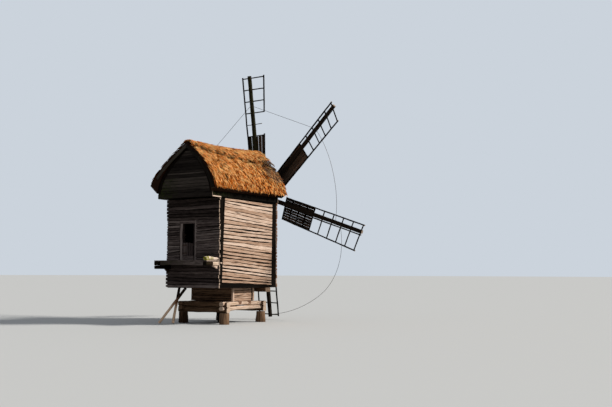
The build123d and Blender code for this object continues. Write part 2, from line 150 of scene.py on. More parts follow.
def weathered_wood(name, shades, end=PALE_END, moss=DARK_MOSS, grain=0.014, along=None, relief=0.005,
                   broad=1.0):
    """Pine left bare outdoors for decades: matt, streaked along the grain where the soft wood has washed out,
    with splits darkened by painted shade, cut ends of another tone and moss in the wet places. The grain's
    real lines are 3 mm apart, too fine to show here, so they are drawn as streaks one, two and four times
    as wide as grain."""
    material, tree, shader = surface(name)
    if along is None:
        place = node(tree, "ShaderNodeUVMap", uv_map="UVMap").outputs["UV"]
        finish_and_shade = node(tree, "ShaderNodeAttribute", attribute_name="finish_and_shade").outputs["Color"]
        tone, cut, mossy = node(tree, "ShaderNodeSeparateColor", {"Color": finish_and_shade}).outputs[:3]
    else:
        place = node(tree, "ShaderNodeTexCoord").outputs["Object"]
        tone, cut, mossy = 0.1, 0.0, 0.0
    streaks = []
    for width in (grain, 4.3 * grain, 2.1 * grain):
        scale = [1 / width] * 3
        scale[along or 0] = 1 / (24 * width)
        drawn = node(tree, "ShaderNodeMapping", {"Vector": place, "Scale": scale}).outputs["Vector"]
        streak = node(tree, "ShaderNodeTexNoise", {"Vector": drawn, "Scale": 1, "Detail": 3})
        streaks.append(streak.outputs["Fac"])
    fine, coarse, split = streaks
    base = -0.35 - 0.5 * broad
    level = node(tree, "ShaderNodeMath", {0: tone, 1: 0.7, 2: base}, operation="MULTIPLY_ADD").outputs[0]
    level = node(tree, "ShaderNodeMath", {0: fine, 1: 1.0, 2: level}, operation="MULTIPLY_ADD").outputs[0]
    level = node(tree, "ShaderNodeMath", {0: coarse, 1: broad, 2: level}, operation="MULTIPLY_ADD",
                 use_clamp=True).outputs[0]
    low, mid, high = [linear(c) for c in shades]
    colour = node(tree, "ShaderNodeValToRGB", {"Fac": level},
                  stops=[(0.08, low), (0.5, mid), (0.92, high)]).outputs["Color"]
    crack = node(tree, "ShaderNodeValToRGB", {"Fac": split},
                 stops=[(0.33, (0.85, 0.85, 0.85, 1)), (0.4, BLACK)]).outputs["Color"]
    # Painted shade in the splits: the low colour darkened further.
    deep = [c * 0.4 for c in low[:3]] + [1]
    colour = node(tree, "ShaderNodeMix", {0: crack, 6: colour, 7: deep}, data_type="RGBA").outputs[2]
    colour = node(tree, "ShaderNodeMix", {0: cut, 6: colour, 7: linear(end)}, data_type="RGBA").outputs[2]
    patch = node(tree, "ShaderNodeTexNoise", {"Vector": place, "Scale": 7, "Detail": 4}).outputs["Fac"]
    patch = node(tree, "ShaderNodeValToRGB", {"Fac": patch},
                 stops=[(0.4, BLACK), (0.6, WHITE)]).outputs["Color"]
    cover = node(tree, "ShaderNodeMath", {0: patch, 1: mossy}, operation="MULTIPLY").outputs[0]
    colour = node(tree, "ShaderNodeMix", {0: cover, 6: colour, 7: linear(moss)}, data_type="RGBA").outputs[2]
    height = node(tree, "ShaderNodeMath", {0: fine, 1: crack}, operation="SUBTRACT").outputs[0]
    bump = node(tree, "ShaderNodeBump", {"Height": height, "Distance": relief, "Strength": 0.8})
    tree.links.new(colour, shader.inputs["Base Color"])
    tree.links.new(bump.outputs["Normal"], shader.inputs["Normal"])
    shader.inputs["Roughness"].default_value = 0.9
    shader.inputs["Specular IOR Level"].default_value = 0.08
    return material


def wheat_straw():
    """Laid wheat straw, bleached to gold on top and brown below: every stalk has its own tone, clumps of
    200 mm differ from the next, cut ends of 15 mm show on the eaves and worn places are grey. A further
    share turns it near-black, for wet straw and for painted shade."""
    material, tree, shader = surface("wheat_straw_thatch")
    finish_and_shade = node(tree, "ShaderNodeAttribute", attribute_name="finish_and_shade").outputs["Color"]
    tone, worn, damp_and_shade = node(tree, "ShaderNodeSeparateColor", {"Color": finish_and_shade}).outputs[:3]
    place = node(tree, "ShaderNodeTexCoord").outputs["Object"]
    clump = node(tree, "ShaderNodeTexNoise", {"Vector": place, "Scale": 5, "Detail": 3}).outputs["Fac"]
    ends = node(tree, "ShaderNodeTexNoise", {"Vector": place, "Scale": 65, "Detail": 2}).outputs["Fac"]
    level = node(tree, "ShaderNodeMath", {0: clump, 1: 0.8, 2: -1.0}, operation="MULTIPLY_ADD").outputs[0]
    level = node(tree, "ShaderNodeMath", {0: ends, 1: 1.2, 2: level}, operation="MULTIPLY_ADD").outputs[0]
    level = node(tree, "ShaderNodeMath", {0: level, 1: tone}, operation="ADD", use_clamp=True).outputs[0]
    dark, brown, gold, pale = [linear(c) for c in STRAW]
    colour = node(tree, "ShaderNodeValToRGB", {"Fac": level},
                  stops=[(0, dark), (1, pale), (0.3, brown), (0.6, gold)]).outputs["Color"]
    # The last mix darkens towards near-black, for wet straw and for painted shade.
    for share, shade in ((worn, WORN_STRAW), (damp_and_shade, DAMP_AND_SHADED_STRAW)):
        colour = node(tree, "ShaderNodeMix", {0: share, 6: colour, 7: linear(shade)},
                      data_type="RGBA").outputs[2]
    tree.links.new(colour, shader.inputs["Base Color"])
    shader.inputs["Roughness"].default_value = 0.7
    shader.inputs["Specular IOR Level"].default_value = 0.1
    return material


def outdoor_metal(name, code, rust, roughness):
    """Forged or drawn metal gone dull outdoors, with rust in blotches of 25 mm."""
    material, tree, shader = surface(name)
    place = node(tree, "ShaderNodeTexCoord").outputs["Object"]
    blotch = node(tree, "ShaderNodeTexNoise", {"Vector": place, "Scale": 40, "Detail": 3}).outputs["Fac"]
    colour = node(tree, "ShaderNodeValToRGB", {"Fac": blotch},
                  stops=[(0.4, linear(code)), (0.65, linear(rust))]).outputs["Color"]
    tree.links.new(colour, shader.inputs["Base Color"])
    shader.inputs["Metallic"].default_value = 0.8
    shader.inputs["Roughness"].default_value = roughness
    return material


lit_board = weathered_wood("bleached_pine_boards", LIT_BOARD, moss=YELLOW_MOSS, grain=0.018, broad=0.5)
front_board = weathered_wood("bleached_pine_boards_brown_ends", LIT_BOARD, end=BROWN_END)
# The next two materials are boards darkened as painted shade.
shaded_board = weathered_wood("pine_boards_painted_shade", SHADED_BOARD)
gable_board = weathered_wood("gable_boards_painted_shade", GABLE_BOARD)
old_timber = weathered_wood("hewn_old_timber", OLD_TIMBER, grain=0.018, relief=0.008)
crib_wood = weathered_wood("hewn_crib_logs", CRIB_WOOD, grain=0.018, relief=0.008)
sail_wood = weathered_wood("dark_sail_timber", SAIL_WOOD, grain=0.012)
pole_wood = weathered_wood("pole_painted_shade_and_sun", POLE_WOOD, grain=0.012)
timber_along = [weathered_wood(f"frame_timber_{axis}", OLD_TIMBER, grain=0.018, along=i)
                for i, axis in enumerate("xyz")]
tie_wood = weathered_wood("hewn_tie_beams", LIT_BOARD, grain=0.018, along=0, broad=0.5)
straw = wheat_straw()
iron = outdoor_metal("forged_iron", "#2B2724", "#5A3A26", 0.6)
wire = outdoor_metal("galvanised_wire", "#4A4A4B", "#5E4A3C", 0.45)


def new_piece():
    """Empty mesh under construction, with its UV map and its finish values."""
    bm = bmesh.new()
    bm.loops.layers.uv.new("UVMap")
    # Per-corner values: for wood, tone, cut ends and moss; for straw, tone, wear and a share that is wet
    # straw and painted shade. Some pieces carry painted shade in their tone.
    bm.loops.layers.float_color.new("finish_and_shade")
    return bm


def keep_piece(bm, name, body, materials, nodes=()):
    """Makes an object of a finished mesh, sets it on its body and hides the solids it stands for."""
    mesh = bpy.data.meshes.new(name)
    bm.to_mesh(mesh)
    bm.free()
    for material in materials:
        mesh.materials.append(material)
    piece = bpy.data.objects.new(name, mesh)
    bpy.context.scene.collection.objects.link(piece)
    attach(piece, body)
    if nodes:
        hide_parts(*nodes)


scratch = bpy.data.meshes.new("scratch")


def between(value, share):
    """Value at a share of the way along a piece, where one number or a pair of end values is given."""
    return value[0] + (value[1] - value[0]) * share if isinstance(value, tuple) else value


def timber(bm, start, end, width, depth, side=(0, 0, 1), seed=0, tone=0.5, moss=0.0, round_=False, wood=0,
           chamfer=0.006, rough=0.004, wander=0.0, step=0.4, cut=0.5):
    """One board, beam or round pole from start to end: width lies along side, depth across it. Width, depth,
    tone and moss may be pairs, for its two ends."""
    start, end, side = Vector(start), Vector(end), Vector(side)
    length = (end - start).length
    wide, deep = between(width, 0.5), between(depth, 0.5)
    one = new_piece()
    if round_:
        made = bmesh.ops.create_cone(one, cap_ends=True, segments=12, radius1=0.5, radius2=0.5, depth=1)
        bmesh.ops.rotate(one, verts=made["verts"], matrix=Matrix.Rotation(math.pi / 2, 3, "Y"))
    else:
        bmesh.ops.create_cube(one, size=1)
    bmesh.ops.scale(one, verts=one.verts, vec=(length, deep, wide))
    runs = [e for e in one.edges if abs(e.verts[0].co.x - e.verts[1].co.x) > length / 2]
    if chamfer and not round_:
        bmesh.ops.bevel(one, geom=runs, offset=chamfer, segments=1, profile=0.5, affect="EDGES", material=-1)
        runs = [e for e in one.edges if abs(e.verts[0].co.x - e.verts[1].co.x) > length / 2]
    bmesh.ops.subdivide_edges(one, edges=runs, cuts=max(1, int(length / step)), use_grid_fill=True)
    for v in one.verts:
        x, y, z = v.co
        share = x / length + 0.5
        shift = noise.noise_vector(Vector((x * 2.2 + seed * 7.1, y * 6, z * 6 + seed)))
        drift = noise.noise(Vector((x * 0.7 + seed * 3.3, seed, 0))) * wander
        v.co.y = y * between(depth, share) / deep + shift.y * rough
        v.co.z = z * between(width, share) / wide + shift.z * rough * 1.5 + drift
    one.normal_update()
    uv = one.loops.layers.uv["UVMap"]
    finish_and_shade = one.loops.layers.float_color["finish_and_shade"]
    for face in one.faces:
        face.material_index = wood
        is_end = abs(face.normal.x) > 0.7
        flat = abs(face.normal.y) >= abs(face.normal.z)
        for loop in face.loops:
            x, y, z = loop.vert.co
            share = x / length + 0.5
            if is_end:
                loop[uv].uv = (y * 0.3 + seed, z)
            else:
                loop[uv].uv = (x + seed * 3.7, z + seed if flat else y + seed + 0.5)
            loop[finish_and_shade] = (between(tone, share), cut if is_end else 0, between(moss, share), 1)
    x_axis = (end - start).normalized()
    y_axis = side.cross(x_axis).normalized()
    turn = Matrix((x_axis, y_axis, x_axis.cross(y_axis))).transposed().to_4x4()
    one.transform(Matrix.Translation((start + end) / 2) @ turn)
    one.to_mesh(scratch)
    one.free()
    bm.from_mesh(scratch)


def row_heights(low, high, pitch, rng, rows=None):
    """Uneven heights of rows of boards between two levels."""
    shares = [rng.uniform(0.72, 1.28) for _ in range(rows or max(1, round((high - low) / pitch)))]
    levels = [low]
    for share in shares:
        levels.append(levels[-1] + share * (high - low) / sum(shares))
    return levels


def boarding(bm, low, high, along, outward, starts, ends, rng, gap=0.02, thick=0.028, over=(0, 0),
             wander=0.02, tone=(0.1, 1.0), moss=0.0, cut=0.8, wood=0, lean=(0, 0)):
    """Horizontal boards over one flat piece of wall, with the heights of their edges at both ends. Towards
    the bottom the two ends are set back by lean."""
    out = 1 - along
    face = high[out] if outward > 0 else low[out]
    for i in range(len(starts) - 1):
        a, b = [0, 0, 0], [0, 0, 0]
        a[out] = b[out] = face - outward * (thick / 2 + rng.uniform(0, BOARD_LOOSE))
        down = 1 - i / len(starts)
        a[along] = low[along] - lean[0] * down - over[0] * rng.random()
        b[along] = high[along] - lean[1] * down + over[1] * rng.random()
        a[2], b[2] = (starts[i] + starts[i + 1]) / 2, (ends[i] + ends[i + 1]) / 2
        wide = tuple(max(0.04, h[i + 1] - h[i] - gap * rng.uniform(0.1, 2.1)) for h in (starts, ends))
        timber(bm, a, b, wide, thick, seed=rng.uniform(0, 50), tone=rng.uniform(*tone),
               moss=moss * rng.random(), wander=wander, rough=0.011, step=0.25, cut=cut * rng.uniform(0.5, 1),
               wood=wood)


def lining(bm, low, high, along, outward, wood=1, tone=-0.2):
    """Thin boards on the inner face of a wall, behind the gaps of its outer boards. Their dark default tone
    is painted shade in those gaps.
    """
    out = 1 - along
    inner = low[out] if outward > 0 else high[out]
    rows = max(2, round((high.z - low.z) / 0.3))
    for k in range(rows):
        a, b = list(low), list(high)
        a[out] = b[out] = inner + outward * LINING_T / 2
        a[2] = b[2] = low.z + (high.z - low.z) * (k + 0.5) / rows
        timber(bm, a, b, (high.z - low.z) / rows + 0.004, LINING_T, tone=tone, chamfer=0, rough=0, step=9,
               cut=0, wood=wood)


def walls():
    """Boards over the side walls and the sail end's wall, in place of their slabs."""
    rng = random.Random(11)
    for name, side in (("wall_right", 1), ("wall_left", -1)):
        bm = new_piece()
        low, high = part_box(name)
        lining(bm, low, high, 1, side)
        low.y, high.y = low.y + 0.085, high.y - 0.12
        spans = ((low.z + 0.2, high.z), (low.z, high.z - 0.08))
        levels = [row_heights(z0, z1, 0.18, rng, 25) for z0, z1 in spans]
        boarding(bm, low, high, 1, side, *levels, rng, gap=0.04, lean=(0.19, 0.07), tone=(0.42, 0.82),
                 wander=0.035)
        keep_piece(bm, f"{name}_boards", "mill", [lit_board, old_timber], [name])
    bm = new_piece()
    low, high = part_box("wall_front")
    # Pale lining inside the sail end's wall: painted light in the dark room seen through the doorway.
    lining(bm, low, high, 0, 1, wood=0, tone=1.2)
    levels = [row_heights(low.z, high.z, 0.19, rng, 23) for _ in range(2)]
    boarding(bm, low, high, 0, 1, *levels, rng, gap=0.03, thick=0.06, over=(0.03, 0.04), cut=1.0)
    keep_piece(bm, "wall_front_boards", "mill", [front_board], ["wall_front"])


def tail_wall():
    """Boards over the tail wall, in place of its four slabs: long ones above and below the doorway, short
    ones beside it."""
    rng = random.Random(17)
    names = ["wall_rear_left", "wall_rear_right", "wall_rear_top", "wall_rear_low"]
    (left, left_end), (right_start, right), (above, _), (_, below) = [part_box(name) for name in names]
    bm = new_piece()
    # The band over the doorway has lower tones, painted shade under the jetty; the band below the doorway is
    # a little darker, painted shade under the gallery.
    for x0, x1, z0, z1, pitch, over, tone in (
            (left.x, right.x, left.z, below.z, 0.17, (0.03, -0.06), (0.1, 0.85)),
            (left.x, left_end.x, below.z, above.z, 0.115, (0.03, 0), (0.15, 0.95)),
            (right_start.x, right.x, below.z, above.z, 0.115, (0, -0.06), (0.15, 0.95)),
            (left.x, right.x, above.z, right.z, 0.2, (0.03, -0.06), (-0.1, 0.5))):
        low, high = Vector((x0, left.y, z0)), Vector((x1, right.y, z1))
        lining(bm, low, high, 0, -1)
        thick = REAR_BOARD_T if x1 < 0 else PROUD_BOARD_T
        low.y -= thick - REAR_BOARD_T
        starts = row_heights(z0, z1, pitch, rng)
        ends = row_heights(z0, z1, pitch, rng, len(starts) - 1)
        boarding(bm, low, high, 0, -1, starts, ends, rng, gap=0.024, over=over, wander=0.015, thick=thick,
                 tone=tone, moss=0.1)
    keep_piece(bm, "wall_rear_boards", "mill", [shaded_board, old_timber], names)


def posts():
    """Dark corner posts that show in the recesses beside the side boards, with a plank nailed to each front
    one."""
    bm = new_piece()
    low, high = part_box("corner_posts")
    half = POST / 2
    corners = [(x, y) for x in (low.x + half, high.x - half) for y in (low.y + half, high.y - half)]
    for i, (x, y) in enumerate(corners):
        timber(bm, (x, y, low.z), (x, y, high.z), POST, POST, side=(1, 0, 0), seed=i, tone=(0.1, -0.1),
               chamfer=0.02, rough=0.012)
    for s in (-1, 1):
        x = s * (high.x - 0.02)
        timber(bm, (x, 2.0, low.z), (x, 2.03, high.z), 0.2, 0.06, side=(0, 1, 0), seed=s + 7, tone=-0.1,
               rough=0.008)
    keep_piece(bm, "corner_post_timbers", "mill", [old_timber], ["corner_posts"])


def beams():
    """Wall plates, hewn square and toned down as painted shade under the eave, with a pale strip painted as
    sunlight along each one's rear end, and the front bearer.
    """
    bm = new_piece()
    low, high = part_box("wall_plates")
    z = (low.z + high.z) / 2
    for s in (-1, 1):
        x = s * (high.x - PLATE_W / 2)
        # Plates in the dark timber at a low tone: painted shade under the eave.
        timber(bm, (x, low.y, z), (x, high.y, z), high.z - low.z, PLATE_W, seed=s + 5, tone=-0.2,
               moss=(0.7, -1.5), chamfer=0.015, rough=0.01, cut=0.1)
        x = s * (high.x - 0.01)
        # Pale strip: painted sunlight along the plate's rear end.
        timber(bm, (x, low.y, low.z + 0.03), (x, -2.38, low.z + 0.01), 0.055, 0.05, seed=s, tone=0.9, wood=1,
               rough=0.006)
    keep_piece(bm, "wall_plate_timbers", "mill", [old_timber, lit_board], ["wall_plates"])
    bm = new_piece()
    low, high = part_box("front_bearer")
    y, z = (low.y + high.y) / 2, (low.z + high.z) / 2
    timber(bm, (low.x, y, z), (high.x, y, z), high.z - low.z, high.y - low.y, seed=3, tone=0.5, chamfer=0.025,
           rough=0.012, cut=0.25)
    keep_piece(bm, "front_bearer_timber", "mill", [crib_wood], ["front_bearer"])


def half_width(points, height, side):
    """Place across the mill of a roof profile at a height above the wall's top."""
    reach = points[-1][0]
    for (x0, h0), (x1, h1) in zip(points, points[1:]):
        if h1 <= height <= h0:
            x = x0 + (x1 - x0) * (h0 - height) / (h0 - h1)
            return side * x + RIDGE_X * (1 - x / reach)
    return side * reach


def gables():
    """Boards of the two gables, cut to the roof's inner line, over a lining painted dark as shade in the
    gaps.
    """
    rng = random.Random(5)
    for name, outward in (("gable_rear", -1), ("gable_front", 1)):
        bm = new_piece()
        low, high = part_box(name)
        levels = [low.z] + row_heights(low.z + 0.24, low.z + 2.58, 0.135, rng)
        face = low.y if outward < 0 else high.y
        for i, (z0, z1) in enumerate(zip(levels, levels[1:])):
            x0, x1 = [half_width(ROOF_IN, (z0 + z1) / 2 - low.z, s) for s in (-1, 1)]
            z, thick = (z0 + z1) / 2, 0.028 if i else 0.036
            y = face - outward * (thick / 2 + rng.uniform(0, 0.006))
            timber(bm, (x0, y, z), (x1, y, z), z1 - z0 - 0.016, thick, tone=rng.uniform(0.1, 0.9),
                   wander=0.012, seed=rng.uniform(0, 50), moss=(1.1, -1.6) if i < 6 else 0, rough=0.006)
            back = face - outward * 0.037
            # Lining at a very low tone: painted shade in the gaps between the gable boards.
            timber(bm, (x0, back, z), (x1, back, z), z1 - z0 + 0.002, LINING_T, tone=-0.8, chamfer=0, rough=0,
                   step=9, cut=0)
        keep_piece(bm, f"{name}_boards", "mill", [gable_board], [name])


def doorway():
    """Dark jambs with a crooked pale batten on each, the lintel and the threshold."""
    bm = new_piece()
    low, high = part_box("door_lintel")
    jamb_low, jamb_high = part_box("door_jambs")
    y, depth = (low.y + high.y) / 2, high.y - low.y
    left, right = DOORWAY_X
    for x0, x1, seed in ((low.x, left, 2), (right, high.x, 3)):
        x = (x0 + x1) / 2
        timber(bm, (x, y + 0.012, jamb_low.z), (x, y + 0.012, low.z), x1 - x0, depth - 0.024, side=(1, 0, 0),
               seed=seed, tone=0, rough=0.008, chamfer=0.012)
    for x, top, wide, seed in ((left - 0.1, low.z, 0.14, 8), (right + 0.17, jamb_high.z, 0.13, 4)):
        timber(bm, (x, low.y + 0.01, jamb_low.z), (x, low.y + 0.01, top), wide, 0.03, side=(1, 0, 0),
               seed=seed, tone=1.1, rough=0.014, wander=0.06, step=0.2)
    z = (low.z + high.z) / 2
    timber(bm, (low.x, y, z), (high.x, y, z), high.z - low.z, depth, seed=5, tone=0.6)
    low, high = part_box("door_threshold")
    sill_z = jamb_low.z
    y, z = low.y + 0.03, (low.z + sill_z) / 2
    timber(bm, (low.x, y, z), (high.x, y, z), sill_z - low.z, 0.06, seed=6, tone=0.9)
    y, z = low.y + 0.04, (sill_z + high.z) / 2
    timber(bm, (left, y, z), (right, y, z), high.z - sill_z, 0.04, seed=7, tone=0.6)
    keep_piece(bm, "door_frame_timbers", "mill", [shaded_board],
               ["door_jambs", "door_lintel", "door_threshold"])


def door():
    """Half door of four upright planks, with its strap hinges."""
    low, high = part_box("door_leaf")
    rng = random.Random(8)
    x0, x1 = LEAF_X
    strap_heights = (low.z + 0.12, high.z - 0.12)
    bm = new_piece()
    for i in range(4):
        x, y = x0 + (x1 - x0) * (i + 0.5) / 4, LEAF_FACE + 0.016
        top = high.z - rng.uniform(0, 0.03)
        timber(bm, (x, y, low.z), (x, y, top), (x1 - x0) / 4 - 0.016, 0.028, side=(1, 0, 0), seed=i + 0.3,
               tone=rng.uniform(0, 0.5))
    y = LEAF_FACE + 0.035
    for z in strap_heights:
        timber(bm, (x0 + 0.02, y, z), (x1 - 0.02, y, z), 0.09, 0.01, seed=z, tone=0.3)
    keep_piece(bm, "door_leaf_planks", "door", [shaded_board], ["door_leaf"])
    bm = new_piece()
    for z in strap_heights:
        y = LEAF_FACE - 0.003
        timber(bm, (HINGE_X, y, z), (STRAP_END_X, y, z), 0.05, 0.006, seed=z, rough=0.0005, chamfer=0.001)
        y = LEAF_FACE - 0.012
        timber(bm, (HINGE_X, y, z - 0.03), (HINGE_X, y, z + 0.03), 0.024, 0.024, side=(1, 0, 0), round_=True,
               rough=0)
    keep_piece(bm, "door_strap_hinges", "door", [iron])


def gallery():
    """Deck planks, front board, the beams' ends, the two logs and their corbels."""
    rng = random.Random(21)
    bm = new_piece()
    low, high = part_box("gallery_deck")
    z = (low.z + high.z) / 2
    for i in range(5):
        y = low.y + (high.y - low.y) * (i + 0.5) / 5
        timber(bm, (low.x, y, z), (high.x, y, z), (high.y - low.y) / 5 - 0.01, high.z - low.z, side=(0, 1, 0),
               seed=rng.uniform(0, 50), tone=rng.uniform(0.2, 0.7), rough=0.006)
    keep_piece(bm, "gallery_deck_planks", "mill", [shaded_board], ["gallery_deck"])
    bm = new_piece()
    low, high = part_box("gallery_front_board")
    y, z = (low.y + high.y) / 2, (low.z + high.z) / 2
    timber(bm, (low.x + 0.15, y, z), (high.x, y, z), (high.z - low.z) * 0.8, 0.03, seed=9, tone=(0.2, 0.7),
           rough=0.014, wander=0.05, moss=(0.6, 0.1), cut=0.1)
    keep_piece(bm, "gallery_front_plank", "mill", [shaded_board], ["gallery_front_board"])
    bm = new_piece()
    low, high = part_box("gallery_beams")
    log_low, log_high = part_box("gallery_side_log")
    z = (low.z + high.z) / 2
    look = dict(chamfer=0.035, rough=0.012, wander=0.02)
    x = high.x - GALLERY_BEAM_W / 2
    dark_to = low.y + 0.5
    # The left beam is in the dark timber, painted shade on the side away from the light; the right beam is in
    # the pale board wood, but dark timber over its outer half metre.
    for across, y0, y1, tone, wood in ((-x, low.y, high.y, 0.1, 1), (x, low.y, dark_to, (0.3, 0.8), 1),
                                       (x, dark_to, high.y, (0.8, 1.2), 0)):
        timber(bm, (across, y0, z), (across, y1, z), high.z - low.z, GALLERY_BEAM_W, seed=y1, tone=tone,
               wood=wood, cut=0, moss=0.2, **look)
    timber(bm, (x, log_low.y + 0.01, high.z + 0.14), (x, -2.39, high.z + 0.15), (0.21, 0.17), (0.2, 0.18),
           seed=6.5, tone=(1.3, 0.9), moss=(2.2, -0.9), cut=0.2, chamfer=0.05, rough=0.045, step=0.1,
           wander=0.03)
    # The lower log, on the left, is in the dark timber: painted shade.
    low_x, low_z = log_low.x + 0.15, (log_low.z + low.z) / 2
    timber(bm, (low_x, log_low.y, low_z), (low_x, log_high.y - 0.02, low_z), low.z - log_low.z, 0.29,
           seed=4.5, tone=0.1, wood=1, cut=0, **look)
    keep_piece(bm, "gallery_logs", "mill", [lit_board, old_timber], ["gallery_beams", "gallery_side_log"])
    bm = new_piece()
    wall = log_high.y - 0.06
    # The left corbel is in the dark timber, painted shade; the right one is pale board wood.
    for x, reach, top, deep, wood in ((x, 0.3, low.z, 0.17, 0), (-x, 0.22, log_low.z, 0.2, 1)):
        timber(bm, (x, wall - reach, top - 0.02), (x, wall, top - deep / 2), (0.04, deep), 0.1,
               seed=reach * 9, tone=0.8, chamfer=0.015, rough=0.012, wood=wood)
    keep_piece(bm, "gallery_corbels", "mill", [lit_board, old_timber], ["gallery_brackets"])


def crib():
    """Crossed hewn logs on round stumps."""
    rng = random.Random(31)
    bm = new_piece()
    low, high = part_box("crib_side_logs")
    end_low, end_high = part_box("crib_end_logs")
    look = dict(chamfer=0.05, rough=0.02, wander=0.03, step=0.25)
    for s in (-1, 1):
        for i in (0, 1):
            z = low.z + (high.z - low.z) * (i + 0.5) / 2
            x = s * (high.x - CRIB_LOG_W / 2)
            # The right side's logs take the pale board wood with pale cut ends and the left side's the darker
            # crib wood without them: painted shade on the side away from the light.
            timber(bm, (x, low.y, z), (x, high.y, z), (high.z - low.z) / 2 - 0.03, CRIB_LOG_W,
                   seed=rng.uniform(0, 50), tone=rng.uniform(0.6, 0.85), cut=0.7 if s > 0 else 0, moss=0.1,
                   wood=0 if s > 0 else 1, **look)
            z = end_low.z + (end_high.z - end_low.z) * (i + 0.5) / 2
            y = s * (end_high.y - CRIB_LOG_W / 2)
            # The end logs are in the darker crib wood: painted shade on the tail side.
            timber(bm, (end_low.x, y, z), (end_high.x, y, z), (end_high.z - end_low.z) / 2 - 0.03, CRIB_LOG_W,
                   seed=rng.uniform(0, 50), tone=rng.uniform(0.3, 0.6), cut=0.9, moss=0.15, wood=1, **look)
    keep_piece(bm, "crib_logs", "base", [lit_board, crib_wood], ["crib_side_logs", "crib_end_logs"])
    bm = new_piece()
    low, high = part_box("stumps")
    for sx in (-1, 1):
        for sy in (-1, 1):
            x, y = sx * (high.x - STUMP_R), sy * (high.y - STUMP_R)
            # The left stumps have lower tones: painted shade away from the light.
            timber(bm, (x, y, 0), (x, y, high.z), (0.51, 0.46), (0.51, 0.46), side=(1, 0, 0), round_=True,
                   seed=rng.uniform(0, 50), tone=(0.6, 1.0) if sx > 0 else (0, 0.2), moss=0.1, rough=0.03,
                   step=0.08)
    for v in bm.verts:
        v.co.z = max(v.co.z, 0)
    keep_piece(bm, "stump_rounds", "base", [crib_wood], ["stumps"])


def bearing_box():
    """Box round the bearing: corner posts with boards let in between them."""
    rng = random.Random(41)
    bm = new_piece()
    low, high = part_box("bearing_box")
    thick, post = 0.024, 0.12
    for i, (sx, sy) in enumerate(((-1, -1), (-1, 1), (1, -1), (1, 1))):
        x, y = sx * (high.x - post / 2), sy * (high.y - post / 2)
        # Posts on the left are in the darker crib wood: painted shade.
        timber(bm, (x, y, low.z), (x, y, high.z), post, post, side=(1, 0, 0), seed=i, tone=0.7, chamfer=0.015,
               rough=0.01, wood=0 if sx > 0 else 1)
    # Boards on the tail and sail faces are in the darker crib wood, painted shade; those on the two sides are
    # pale board wood.
    for along, outward, wood, tone in ((1, 1, 0, (-0.1, 0.8)), (1, -1, 0, (-0.1, 0.8)),
                                       (0, -1, 1, (0.5, 1.2)), (0, 1, 1, (0.5, 1.2))):
        out = 1 - along
        a, b = Vector(low), Vector(high)
        a[along], b[along] = a[along] + post, b[along] - post
        face = b if outward > 0 else a
        face[out] -= outward * 0.015
        if along and outward > 0:
            b.y -= 0.1
        levels = [row_heights(low.z, high.z, 0.11, rng, 6) for _ in range(2)]
        boarding(bm, a, b, along, outward, *levels, rng, gap=0.022, thick=thick, tone=tone, wood=wood,
                 wander=0.012)
        inside = (low[out], high[out])[outward > 0] - outward * (WALL_T + LINING_T)
        a[out], b[out] = inside, inside
        a[along], b[along] = low[along] + post, high[along] - post
        lining(bm, a, b, along, outward, wood=2)
    keep_piece(bm, "bearing_box_boards", "mill", [lit_board, crib_wood, old_timber], ["bearing_box"])


def outline(side_points):
    """Roof line from the left eave to the right one: lengths from the ridge, x and z."""
    reach = side_points[-1][0]
    left = [(-x + RIDGE_X * (1 - x / reach), EAVE_Z + h) for x, h in reversed(side_points)]
    right = [(x + RIDGE_X * (1 - x / reach), EAVE_Z + h) for x, h in side_points[1:]]
    points = np.array(left + right)
    lengths = np.concatenate([[0], np.cumsum(np.hypot(*np.diff(points, axis=0).T))])
    return lengths - lengths[len(side_points) - 1], points[:, 0], points[:, 1]


ROOF_Q, ROOF_X, ROOF_Z = outline(ROOF_OUT)
ROOF_Y = [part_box("thatch_right")[i].y for i in (0, 1)]


def on_line(values, q):
    """Value on the roof line at lengths q from the ridge, carried straight on past the eaves."""
    beyond = q - np.clip(q, ROOF_Q[0], ROOF_Q[-1])
    first = (values[1] - values[0]) / (ROOF_Q[1] - ROOF_Q[0])
    last = (values[-1] - values[-2]) / (ROOF_Q[-1] - ROOF_Q[-2])
    return np.interp(q, ROOF_Q, values) + beyond * np.where(beyond < 0, first, last)


def roof_point(q, y, lift):
    """Point of the thatch: q runs down the slope from the ridge, negative to the left; lift is outwards."""
    soft = 0.1
    x = sum(on_line(ROOF_X, q + d) for d in (-soft, 0, soft)) / 3
    z = sum(on_line(ROOF_Z, q + d) for d in (-soft, 0, soft)) / 3
    dx = on_line(ROOF_X, q + soft) - on_line(ROOF_X, q - soft)
    dz = on_line(ROOF_Z, q + soft) - on_line(ROOF_Z, q - soft)
    size = np.hypot(dx, dz)
    share = np.clip((y - ROOF_Y[0]) / (ROOF_Y[1] - ROOF_Y[0]), 0, 1)
    sag = (RIDGE_SAG * np.sin(math.pi * share) ** 1.3 + 0.04 * (1 - share)) * np.exp(-(q / 1.4) ** 2)
    lift = lift + 0.11 * np.exp(-((q + 2.6) / 0.8) ** 2) + 0.2 * np.exp(-((q + 3.3) / 0.4) ** 2)
    return np.stack([x - lift * dz / size, y + 0 * q, z + lift * dx / size - sag], axis=-1)


